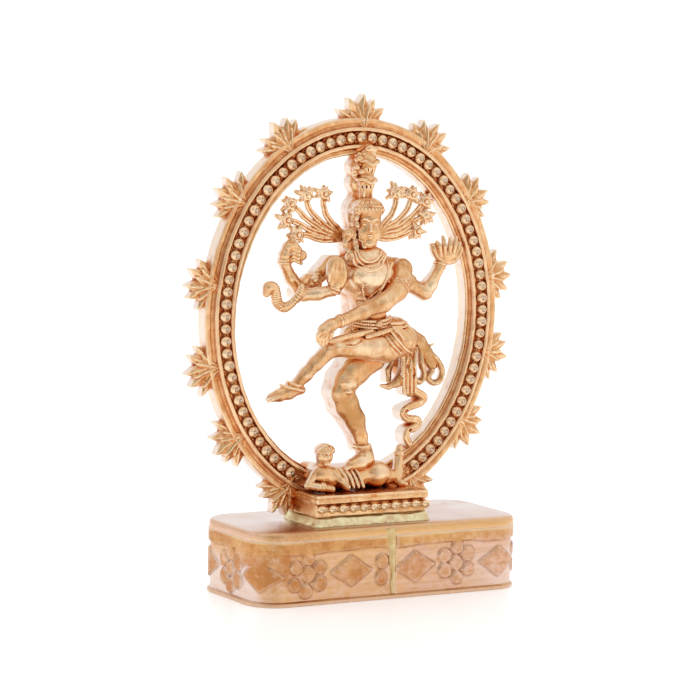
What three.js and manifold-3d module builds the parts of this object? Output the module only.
// A small cast nataraja: a dancer inside a ring of flames, on a beaded plinth and a sheet-metal base.
// Millimetres, +Z up, the front faces -Y. The origin is the centre of the face that the base rests on.
import * as THREE from "three";
import { mergeVertices } from "three/addons/utils/BufferGeometryUtils.js";
import Module from "manifold-3d";

const wasm = await Module();
wasm.setup();

// ---------- driving dimensions ----------
const GAP = 0.3; // clearance at every brazed or wax-welded joint
const BASE = { width: 46.6, depth: 19.6, height: 11.3, corner: 4.6, sheet: 0.8 };
const LIP = { proud: 0.4, height: 0.8 }; // the bottom plate stands a little proud of the wall
const LID_HEIGHT = 1.6; // the top plate is a shallow tray, turned upside down
const MOTIF = { pitch: 7.6, backPitch: 8.69, z: 4.7, relief: 0.35, firstRight: 3.6, firstLeft: -0.2 };
const DIAMOND = { width: 7.4, height: 4.8 };
const FLOWER = { dot: 1.1, ring: 2.5, petals: 6 };

const CAST_X = -2.6; // the plinth, ring and dancer stand a little left of the base's centre
const BACK_Y = 2.1; // every casting is flat at this plane behind
const PLINTH = { width: 19.8, front: -7.3, back: 2.6, top: 16, fascia: 1.3, recess: 0.5 };
const BRAZE = { proud: 0.6, height: 1.3 };
const PLINTH_BEADS = { count: 11, radius: 0.7, z: 13.9 };

const RING = { z: 42.6, midX: 22.85, midZ: 27.1, channel: 0.95, rim: 0.7, front: -0.95, face: -0.3 };
const FLANGE = { out: 1.4, in: 1.0 }; // how far the ring's back flange passes the front rims
const RING_FOOT = 24; // degrees either side of straight down where the ring ends inside the plinth
const BEADS = { pitch: 1.85, radius: 0.75, wire: 0.3 };
const FLAME = { reach: 5.75, shrink: 0.9, valley: 3.3, spread: 75, petals: 7 };
// Where each flame stands, in degrees anticlockwise from the right, unevenly spaced by hand.
const FLAME_TURNS = [-64, -36.2, -12.9, 11, 36.9, 60.8, 88, 118.7, 142.9, 169.8, 195.1, 218.9, 244.2];

const COPPER = { color: 0xcf9160, roughness: 0.32, metalness: 1 };
const SHEET = { color: 0xe0aa88, roughness: 0.38, metalness: 1 };
const BRASS_BRAZE = { color: 0xd6c477, roughness: 0.45, metalness: 1 };

// ---------- solids ----------
function solid(geometry) {
  const bare = geometry.clone();
  bare.deleteAttribute("normal");
  bare.deleteAttribute("uv");
  const merged = mergeVertices(bare, 1e-4);
  const vertProperties = new Float32Array(merged.attributes.position.array);
  const triVerts = new Uint32Array(merged.index.array);
  return new wasm.Manifold(new wasm.Mesh({ numProp: 3, vertProperties, triVerts }));
}

function geometryOf(manifold) {
  const mesh = manifold.getMesh();
  const geometry = new THREE.BufferGeometry();
  geometry.setAttribute("position", new THREE.BufferAttribute(mesh.vertProperties, 3));
  geometry.setIndex(new THREE.BufferAttribute(mesh.triVerts, 1));
  const flat = geometry.toNonIndexed();
  flat.computeVertexNormals();
  return flat;
}

function union(solids) {
  return solids.reduce((sum, next) => sum.add(next));
}

function block(x0, x1, y0, y1, z0, z1) {
  const box = new THREE.BoxGeometry(x1 - x0, y1 - y0, z1 - z0);
  return solid(box.translate((x0 + x1) / 2, (y0 + y1) / 2, (z0 + z1) / 2));
}

// A shape drawn in X and Y, extruded upwards from z0 to z1.
function upright(shape, z0, z1, curveSegments = 4) {
  const geometry = new THREE.ExtrudeGeometry(shape, { depth: z1 - z0, bevelEnabled: false, curveSegments });
  return solid(geometry.translate(0, 0, z0));
}

// A shape drawn in X and Z, extruded forwards from the plane y = back to the plane y = front.
function standing(shape, front, back, curveSegments = 6) {
  const geometry = new THREE.ExtrudeGeometry(shape, { depth: back - front, bevelEnabled: false, curveSegments });
  return solid(geometry.rotateX(Math.PI / 2).translate(0, back, 0));
}

const vector = ([x, y, z]) => new THREE.Vector3(x, y, z);
const UP = new THREE.Vector3(0, 1, 0);
const SIDES = 7;
const CAP_RINGS = 2;

// A round bar with domed ends between two points [x, y, z, radius], tapering from one radius to the other.
function bar(a, b) {
  const start = vector(a);
  const along = vector(b).sub(start);
  const length = along.length();
  const dome = (radius, middle, end) => {
    const points = [];
    for (let i = 0; i <= CAP_RINGS; i++) {
      const t = ((i / CAP_RINGS) * Math.PI) / 2;
      points.push(new THREE.Vector2(i === 0 ? 0 : radius * Math.sin(t), middle + end * radius * Math.cos(t)));
    }
    return points;
  };
  const profile = [...dome(a[3], 0, -1), ...dome(b[3], length, 1).reverse()];
  const geometry = new THREE.LatheGeometry(profile, SIDES);
  geometry.applyQuaternion(new THREE.Quaternion().setFromUnitVectors(UP, along.normalize()));
  return solid(geometry.translate(start.x, start.y, start.z));
}

// The straight-sided stock behind a bar, from the flat back of the casting up to the bar's middle.
function stock(a, b, back) {
  const [ax, , az, ar] = a;
  const [bx, , bz, br] = b;
  const heading = Math.atan2(bz - az, bx - ax);
  const shape = new THREE.Shape();
  shape.absarc(ax, az, ar, heading + Math.PI / 2, heading + 1.5 * Math.PI, false);
  shape.absarc(bx, bz, br, heading - Math.PI / 2, heading + Math.PI / 2, false);
  return standing(shape, Math.max(a[1], b[1]), back, 4);
}

// Everything behind the casting's flat back is cut away.
const REACH = 60;
const behind = (back) => block(-REACH, REACH, back, REACH, -REACH, 2 * REACH);

// A limb follows its points; grow makes it fatter all round, to cut clearance in its neighbours.
function limb(points, grow = 0, backed = true) {
  const fat = points.map(([x, y, z, radius]) => [x, y, z, radius + grow]);
  const parts = [];
  for (let i = 1; i < fat.length; i++) {
    parts.push(bar(fat[i - 1], fat[i]));
    if (backed) parts.push(stock(fat[i - 1], fat[i], BACK_Y + grow));
  }
  return union(parts).subtract(behind(BACK_Y + grow));
}

// A wire or ribbon of one section along a smooth curve through its points.
function wire(points, section, steps) {
  const path = new THREE.CatmullRomCurve3(points.map(vector));
  return solid(new THREE.ExtrudeGeometry(section, { steps, extrudePath: path, bevelEnabled: false }));
}

function polygon(sides, radius) {
  const shape = new THREE.Shape();
  for (let i = 0; i < sides; i++) {
    const turn = (2 * Math.PI * i) / sides;
    const [x, y] = [radius * Math.cos(turn), radius * Math.sin(turn)];
    if (i === 0) shape.moveTo(x, y);
    else shape.lineTo(x, y);
  }
  shape.closePath();
  return shape;
}

// ---------- the base ----------
function roundedRectangle(width, depth, corner) {
  const [x, y, r] = [width / 2, depth / 2, corner];
  const shape = new THREE.Shape();
  shape.absarc(x - r, y - r, r, 0, Math.PI / 2, false);
  shape.absarc(r - x, y - r, r, Math.PI / 2, Math.PI, false);
  shape.absarc(r - x, r - y, r, Math.PI, 1.5 * Math.PI, false);
  shape.absarc(x - r, r - y, r, 1.5 * Math.PI, 2 * Math.PI, false);
  return shape;
}

function baseBlock(proud, z0, z1) {
  const shape = roundedRectangle(BASE.width + 2 * proud, BASE.depth + 2 * proud, BASE.corner + proud);
  return upright(shape, z0, z1);
}

const wallTop = BASE.height - LID_HEIGHT;

function baseBottomPlate() {
  return baseBlock(LIP.proud, 0, LIP.height);
}

// The lid's rim stands on the wall; its underside is hollowed to one sheet thickness.
function baseTopPlate() {
  const rounding = 0.5;
  const lid = baseBlock(0, wallTop, BASE.height - rounding).add(baseBlock(-rounding, wallTop, BASE.height));
  return lid.subtract(baseBlock(-BASE.sheet, wallTop - 1, BASE.height - BASE.sheet));
}

// The place and heading on the wall's outside at a distance along it from the front seam, to the right.
function onWall(distance) {
  const outline = roundedRectangle(BASE.width, BASE.depth, BASE.corner);
  const length = outline.getLength();
  const cornerArc = (Math.PI / 2) * BASE.corner;
  const sideRun = BASE.depth - 2 * BASE.corner;
  // the outline starts on the right side, at the end of its straight run
  const rightRunEnd = BASE.width / 2 - BASE.corner + cornerArc + sideRun;
  const u = ((((distance - rightRunEnd) / length) % 1) + 1) % 1;
  const at = outline.getPointAt(u);
  const tangent = outline.getTangentAt(u);
  return { at, outward: Math.atan2(-tangent.x, tangent.y) };
}

function motifAt(distance, shape) {
  const inset = 1;
  const { at, outward } = onWall(distance);
  const geometry = new THREE.ExtrudeGeometry(shape, { depth: 2 * inset, bevelEnabled: false, curveSegments: 2 });
  // the shape's X runs along the wall, its Y upwards, and its depth outwards
  geometry.rotateX(Math.PI / 2).translate(0, inset, 0).rotateZ(outward + Math.PI / 2);
  return solid(geometry.translate(at.x, at.y, MOTIF.z));
}

function diamondShape() {
  const shape = new THREE.Shape();
  shape.moveTo(DIAMOND.width / 2, 0);
  shape.lineTo(0, DIAMOND.height / 2);
  shape.lineTo(-DIAMOND.width / 2, 0);
  shape.lineTo(0, -DIAMOND.height / 2);
  shape.closePath();
  return shape;
}

function flowerMotif(distance) {
  const dot = (x, z) => {
    const shape = new THREE.Shape();
    shape.absarc(x, z, FLOWER.dot, 0, 2 * Math.PI, false);
    return motifAt(distance, shape);
  };
  const dots = [dot(0, 0)];
  for (let i = 0; i < FLOWER.petals; i++) {
    const turn = Math.PI / 6 + (2 * Math.PI * i) / FLOWER.petals;
    dots.push(dot(FLOWER.ring * Math.cos(turn), FLOWER.ring * Math.sin(turn)));
  }
  return union(dots);
}

// Diamonds and seven-dot flowers take turns along the strip, from both ends of the seam to the back.
function motifs() {
  const made = [];
  const place = (distance, isDiamond) => {
    made.push(isDiamond ? motifAt(distance, diamondShape()) : flowerMotif(distance));
  };
  const rightCount = 5;
  const leftCount = 6;
  for (let i = 0; i < rightCount; i++) place(MOTIF.firstRight + i * MOTIF.pitch, i % 2 === 0);
  for (let i = 1; i < leftCount; i++) place(MOTIF.firstLeft - i * MOTIF.pitch, i % 2 === 1);
  const lastRight = MOTIF.firstRight + (rightCount - 1) * MOTIF.pitch;
  const backCount = 5;
  for (let i = 1; i <= backCount; i++) place(lastRight + i * MOTIF.backPitch, i % 2 === 0);
  return union(made);
}

const SEAM = { width: 1.4, braze: 0.8 };

function baseWall() {
  const band = baseBlock(0, LIP.height, wallTop);
  const hollow = baseBlock(-BASE.sheet, 0, BASE.height);
  const relief = motifs().intersect(baseBlock(MOTIF.relief, LIP.height, wallTop)).subtract(baseBlock(-0.2, 0, 20));
  const seam = block(-SEAM.width / 2, SEAM.width / 2, -BASE.depth, 0, 0, BASE.height);
  return band.subtract(hollow).add(relief).subtract(seam);
}

function baseSeamBraze() {
  const front = -BASE.depth / 2;
  return block(-SEAM.braze / 2, SEAM.braze / 2, front - 0.2, front + BASE.sheet, LIP.height, wallTop);
}

// ---------- the plinth ----------
const plinthFoot = BASE.height + BRAZE.height;

function plinthBlock() {
  const half = PLINTH.width / 2;
  const body = block(-half, half, PLINTH.front, PLINTH.back, plinthFoot, PLINTH.top);
  const recess = block(
    -REACH, REACH, PLINTH.front - 1, PLINTH.front + PLINTH.recess, plinthFoot - 1, PLINTH.top - PLINTH.fascia,
  );
  return body.subtract(recess);
}

function plinthBrazeFillet() {
  const half = PLINTH.width / 2 + BRAZE.proud;
  const front = PLINTH.front - BRAZE.proud;
  return block(-half, half, front, PLINTH.back + BRAZE.proud, BASE.height, plinthFoot);
}

function plinthBeadRow() {
  const { count, radius, z } = PLINTH_BEADS;
  const y = PLINTH.front + PLINTH.recess - radius;
  const pitch = (PLINTH.width - 2 * radius) / (count - 1);
  const start = -((count - 1) / 2) * pitch;
  const beads = [wire([[start, y, z], [-start, y, z]], polygon(6, radius / 2), 1)];
  for (let i = 0; i < count; i++) {
    const ball = new THREE.SphereGeometry(radius, 6, 4).rotateX(Math.PI / 2);
    beads.push(solid(ball.translate(start + i * pitch, y, z)));
  }
  return union(beads);
}

// ---------- the ring ----------
// The ellipse through the middle of the bead channel, anticlockwise from the front, angles in degrees.
class RingCurve extends THREE.Curve {
  constructor(from, to, y = 0, outset = 0) {
    super();
    Object.assign(this, { from, to, y, outset });
  }

  getPoint(t) {
    const turn = THREE.MathUtils.degToRad(this.from + (this.to - this.from) * t);
    const out = new THREE.Vector2(Math.cos(turn) / RING.midX, Math.sin(turn) / RING.midZ).normalize();
    const x = RING.midX * Math.cos(turn) + out.x * this.outset;
    const z = RING.z + RING.midZ * Math.sin(turn) + out.y * this.outset;
    return new THREE.Vector3(x, this.y, z);
  }
}

const RING_STEPS = 52;

// The ring's section: X runs towards the front and Y outwards from the middle of the bead channel.
function ringSection(grow) {
  const rim = RING.channel + RING.rim + grow;
  const [back, face, front] = [-BACK_Y - grow, -RING.face + grow, -RING.front + grow];
  const outline = [[back, -rim - FLANGE.in], [face, -rim - FLANGE.in], [face, -rim], [front, -rim]];
  if (grow === 0) {
    outline.push([front, -RING.channel], [face, -RING.channel], [face, RING.channel], [front, RING.channel]);
  }
  outline.push([front, rim], [face, rim], [face, rim + FLANGE.out], [back, rim + FLANGE.out]);
  const shape = new THREE.Shape();
  outline.forEach(([x, y], i) => (i === 0 ? shape.moveTo(x, -y) : shape.lineTo(x, -y)));
  shape.closePath();
  return shape;
}

function ringSolid(grow = 0) {
  const path = new RingCurve(-90 + RING_FOOT - 8, 270 - RING_FOOT + 8);
  const geometry = new THREE.ExtrudeGeometry(ringSection(grow), {
    steps: RING_STEPS, extrudePath: path, bevelEnabled: false,
  });
  return solid(geometry);
}

function archRing() {
  return ringSolid().subtract(block(-REACH, REACH, -REACH, REACH, 0, PLINTH.top));
}

function archBeadStrand() {
  const lead = 5;
  const path = new RingCurve(-90 + RING_FOOT + lead, 270 - RING_FOOT - lead, RING.face - BEADS.radius);
  const count = Math.round(path.getLength() / BEADS.pitch);
  const steps = Math.round(count / 2);
  const strand = [solid(new THREE.ExtrudeGeometry(polygon(4, BEADS.wire), {
    steps, extrudePath: path, bevelEnabled: false,
  }))];
  for (let i = 0; i <= count; i++) {
    const at = path.getPointAt(i / count);
    strand.push(solid(new THREE.OctahedronGeometry(BEADS.radius, 0).translate(at.x, at.y, at.z)));
  }
  return union(strand);
}

// A flat-backed fan of pointed petals, its root on the ring's outer rim.
function flame(turn) {
  const curve = new RingCurve(turn, turn + 1, 0, RING.channel);
  const root = curve.getPoint(0);
  const outward = Math.atan2(Math.sin(THREE.MathUtils.degToRad(turn)) / RING.midZ,
    Math.cos(THREE.MathUtils.degToRad(turn)) / RING.midX);
  const shape = new THREE.Shape().moveTo(root.x, root.z);
  const spread = THREE.MathUtils.degToRad(FLAME.spread);
  const last = 2 * FLAME.petals - 2;
  for (let i = 0; i <= last; i++) {
    const side = (2 * i) / last - 1;
    const heading = outward + side * spread;
    const isTip = i % 2 === 0;
    const length = isTip ? FLAME.reach - FLAME.shrink * side * side : FLAME.valley;
    shape.lineTo(root.x + length * Math.cos(heading), root.z + length * Math.sin(heading));
  }
  shape.closePath();
  return standing(shape, RING.face, BACK_Y);
}

// ---------- the dancer ----------
// Each limb is a list of points [x, y, z, radius], measured from the middle of the ring.
const FIGURE = {
  torso: [
    [[-3.4, -0.4, 49.4, 1.9], [1.4, -1.4, 49, 3.1], [6.4, -0.8, 49, 2]],
    [[1.4, -1.4, 48.4, 3.1], [1.6, -1.2, 43, 2.8], [2.4, -1.4, 39.6, 3.2]],
    [[2.4, -1.4, 39.6, 3.2], [6.8, -0.8, 38.4, 2.6]],
  ],
  head: [
    [[1.2, -1, 52.9, 1.6], [0.7, -2.4, 55.6, 2.5], [0.6, -2, 58.4, 2.7]],
  ],
  crown: [
    [[0.6, -1, 60.9, 1.1], [0.7, -1, 63.1, 1.6], [0.9, -0.6, 65.7, 2], [1.2, 0, 67.4, 1.9]],
  ],
  standing_leg: [
    [[0.6, -0.6, 34.6, 2.2], [-1.8, -0.8, 33, 2.1], [-2.6, -0.8, 30.2, 1.6], [-0.3, -0.6, 27.6, 1.6]],
    [[-0.3, -0.6, 27.6, 1.6], [1.4, -0.6, 22.8, 1.1], [1.6, -1.4, 20.9, 1.3], [-2.4, -2.2, 20.3, 0.9]],
  ],
  raised_leg: [
    [[6.2, -3.4, 38.2, 2.1], [1.4, -4.2, 37.8, 2.2], [-4.4, -4.8, 37.9, 1.3], [-7.8, -4.4, 37.6, 1.5]],
    [[-7.8, -4.4, 37.6, 1.5], [-11.6, -3.6, 32.9, 1.3]],
    [[-11, -3, 31.9, 1.2], [-14, -2.8, 31.3, 1.1], [-16.4, -2.7, 30.6, 0.6]],
  ],
  crossing_arm: [
    [[7, -2.4, 49.2, 1.6], [5.2, -4.4, 46.6, 1.6], [1.9, -5.4, 44.9, 1.4], [-5.2, -6, 42.5, 1]],
    [[-5.2, -6, 42.5, 1], [-8.4, -6, 41.3, 1], [-9.8, -6, 39.6, 0.7]],
  ],
  abhaya_arm: [
    [[-4.9, 0.2, 49.6, 1.3], [-10, -1.4, 45.8, 1.2], [-6, -3.2, 46.7, 1.1]],
    [[-5.4, -3.8, 48.4, 1.5], [-5.4, -3.8, 50.6, 1.4]],
  ],
  rear_right_arm: [
    [[-8, 0.4, 48, 1.1], [-10.4, -0.6, 47, 1.1], [-13, -0.8, 50.4, 0.9]],
    [[-13, -0.8, 50.4, 0.9], [-12.4, -0.8, 53.2, 1], [-10.9, -0.8, 52, 0.9]],
  ],
  rear_left_arm: [
    [[8.4, 0.4, 48.4, 1.3], [12.3, -0.8, 45.6, 1.3], [15, -0.8, 50, 0.9]],
  ],
  flame_hand: [
    [[14.7, -0.8, 51.6, 0.9], [16.9, -0.8, 51.4, 0.9]],
    [[14.8, -0.8, 52, 0.6], [14.8, -0.8, 53.6, 0.5]],
    [[16.2, -0.8, 52, 0.6], [16.4, -0.8, 54.4, 0.5]],
    [[17.2, -0.8, 52, 0.6], [17.5, -0.8, 54.2, 0.5]],
  ],
  dwarf_head: [
    [[-6.6, -3.2, 21.2, 1.3], [-6.2, -3.2, 21.6, 1.2]],
  ],
  dwarf_body: [
    [[-6.7, -3.2, 18.4, 1.6], [-3.6, -2.8, 17.7, 1.3], [2.8, -2.8, 18, 1.9]],
    [[-9.4, -4, 17.1, 0.7], [-6.2, -4.6, 16.9, 0.8]],
  ],
  dwarf_legs: [
    [[5.6, -2.6, 17.2, 1], [7.4, -2, 17.6, 0.9], [7.9, -1.6, 20.8, 0.7]],
  ],
  sash_drape: [
    [[9, -0.4, 36.2, 1.5], [8.9, -0.4, 34.5, 1.4], [9.6, -0.4, 30.8, 1]],
    [[8, -0.4, 34.6, 1], [5.2, -0.6, 31.8, 0.8]],
  ],
  sash_scroll: [
    [[10.6, -0.2, 38.2, 0.9], [12.6, -0.4, 35.8, 1.1], [14.7, -0.4, 33.2, 1], [12.8, -0.4, 31.5, 0.8]],
  ],
  sash_ribbon: [
    [[10.4, 0, 30.2, 0.8], [12.4, 0, 29.2, 0.7], [9.2, 0, 27.4, 0.7], [11.7, 0, 25.6, 0.7]],
    [[11.7, 0, 25.6, 0.7], [9.7, 0, 24, 0.7], [10, 0, 22.4, 0.7]],
  ],
};


const HAIR = {
  right: {
    root: [-2.6, 0.6, 54.6],
    tips: [[-6.4, 61], [-9.2, 60.8], [-12.4, 59.4], [-12.6, 57], [-10.8, 55]],
  },
  left: {
    root: [5.2, 0.6, 54.4],
    tips: [[6, 61.2], [8.8, 61.4], [11.6, 59.8], [12, 57.6], [10.4, 55.4]],
  },
};
const STRAND = { radius: 0.6, sides: 6, steps: 5 };
const STAR = { points: 5, outer: 1.3, inner: 0.75, thick: 1.6 };

function limbs(name, grow = 0) {
  return union(FIGURE[name].map((points) => limb(points, grow)));
}

function star(x, y, z, grow) {
  const shape = new THREE.Shape();
  for (let i = 0; i < 2 * STAR.points; i++) {
    const radius = (i % 2 === 0 ? STAR.outer : STAR.inner) + grow;
    const turn = Math.PI / 2 + (Math.PI * i) / STAR.points;
    const [px, pz] = [x + radius * Math.cos(turn), z + radius * Math.sin(turn)];
    if (i === 0) shape.moveTo(px, pz);
    else shape.lineTo(px, pz);
  }
  shape.closePath();
  return standing(shape, y - STAR.thick / 2 - grow, y + STAR.thick / 2 + grow);
}

// Five locks of hair sweep out from behind the head, each ending in a flower.
function hairFan({ root, tips }, grow = 0) {
  const section = polygon(STRAND.sides, STRAND.radius + grow);
  const parts = tips.flatMap(([x, z]) => {
    const bend = [root[0] + 0.6 * (x - root[0]), root[1], root[2] + 0.4 * (z - root[2])];
    const tip = [x, root[1], z];
    return [wire([root, bend, tip], section, STRAND.steps), star(x, root[1], z, grow)];
  });
  return union(parts);
}

// A cord laid over the body: a thin bar that follows the points, let into nothing and backed by nothing.
function trimCord(points, radius, grow = 0) {
  const cords = [];
  for (let i = 1; i < points.length; i++) {
    cords.push(bar([...points[i - 1], radius + grow], [...points[i], radius + grow]));
  }
  return union(cords);
}

const NECKLACE = [[-3.3, -3.2, 52], [-2.2, -4.6, 50.6], [-0.3, -5, 50], [1.8, -4.8, 50.8], [2.8, -3.4, 52]];
const LONG_NECKLACE = [[-3.6, -3.8, 50.8], [-2.4, -4.8, 49], [-0.6, -5, 47], [0.8, -5, 47], [1.7, -4.9, 49.2]];
const BELT = [[-2.2, -3.2, 41.2], [0.6, -4.6, 40.9], [3.4, -4.8, 41], [5.4, -3.2, 41.4]];
const HIP_CLOTH = [[5.4, -4.6, 40.8], [6.4, -5.6, 38.6], [5.2, -6, 36.6]];
const SNAKE = [[-15.6, -2.2, 47], [-15, -2.2, 45], [-13.5, -2.4, 44.3], [-12, -2.8, 45.4], [-11.3, -3.4, 47]];

// The pieces of the dancer, the ones in front first: each later piece is cut clear of the earlier ones.
const dancer = {
  plinth_and_ring: (grow) =>
    ringSolid(grow).add(block(-REACH, REACH, -REACH, REACH, 0, PLINTH.top + (grow > 0 ? 0.1 : 0))),
  crossing_arm: (grow) => limb(FIGURE.crossing_arm[0], grow, false).add(limb(FIGURE.crossing_arm[1], grow, false)),
  necklace: (grow) => trimCord(NECKLACE, 0.6, grow),
  long_necklace: (grow) => trimCord(LONG_NECKLACE, 0.4, grow),
  waist_belt: (grow) => trimCord(BELT, 0.6, grow),
  hip_cloth: (grow) => trimCord(HIP_CLOTH, 0.9, grow),
  snake: (grow) => trimCord(SNAKE, 0.7, grow),
  raised_leg: (grow) => limb(FIGURE.raised_leg[0], grow, false).add(limbs("raised_leg", grow).intersect(
    block(-REACH, -4.6, -REACH, REACH, 0, 2 * REACH))),
  abhaya_arm: (grow) => limbs("abhaya_arm", grow),
  head: (grow) => limbs("head", grow),
  torso: (grow) => limbs("torso", grow),
  crown: (grow) => limbs("crown", grow),
  standing_leg: (grow) => limbs("standing_leg", grow),
  rear_right_arm: (grow) => limbs("rear_right_arm", grow),
  rear_left_arm: (grow) => limbs("rear_left_arm", grow),
  flame_hand: (grow) => limbs("flame_hand", grow),
  dwarf_head: (grow) => limbs("dwarf_head", grow),
  dwarf_body: (grow) => limbs("dwarf_body", grow),
  dwarf_legs: (grow) => limbs("dwarf_legs", grow),
  sash_drape: (grow) => limbs("sash_drape", grow),
  sash_scroll: (grow) => limbs("sash_scroll", grow),
  sash_ribbon: (grow) => limbs("sash_ribbon", grow),
  hair_fan_right: (grow) => hairFan(HAIR.right, grow),
  hair_fan_left: (grow) => hairFan(HAIR.left, grow),
};

// ---------- assembly ----------
function addMesh(group, name, shape, finish) {
  const mesh = new THREE.Mesh(geometryOf(shape), new THREE.MeshStandardMaterial(finish));
  mesh.name = name;
  group.add(mesh);
}

const statue = new THREE.Group();
const casting = new THREE.Group();
casting.position.x = CAST_X;
statue.add(casting);

addMesh(statue, "base_bottom_plate", baseBottomPlate(), SHEET);
addMesh(statue, "base_wall", baseWall(), SHEET);
addMesh(statue, "base_seam_braze", baseSeamBraze(), BRASS_BRAZE);
addMesh(statue, "base_top_plate", baseTopPlate(), SHEET);
addMesh(casting, "plinth_braze_fillet", plinthBrazeFillet(), BRASS_BRAZE);
addMesh(casting, "plinth_block", plinthBlock(), COPPER);
addMesh(casting, "plinth_bead_row", plinthBeadRow(), COPPER);
addMesh(casting, "arch_ring", archRing(), COPPER);
addMesh(casting, "arch_bead_strand", archBeadStrand(), COPPER);

const flameClearance = ringSolid(GAP).add(
  block(-PLINTH.width / 2 - GAP, PLINTH.width / 2 + GAP, -REACH, REACH, 0, PLINTH.top + GAP),
);
FLAME_TURNS.forEach((turn, i) => {
  const name = `flame_${String(i + 1).padStart(2, "0")}`;
  addMesh(casting, name, flame(turn).subtract(flameClearance), COPPER);
});

const fitted = [];
for (const [name, make] of Object.entries(dancer)) {
  const isDancer = name !== "plinth_and_ring";
  if (isDancer) {
    const shape = fitted.reduce((rest, grown) => rest.subtract(grown), make(0));
    addMesh(casting, name, shape, COPPER);
  }
  fitted.push(make(GAP));
}

export default statue;
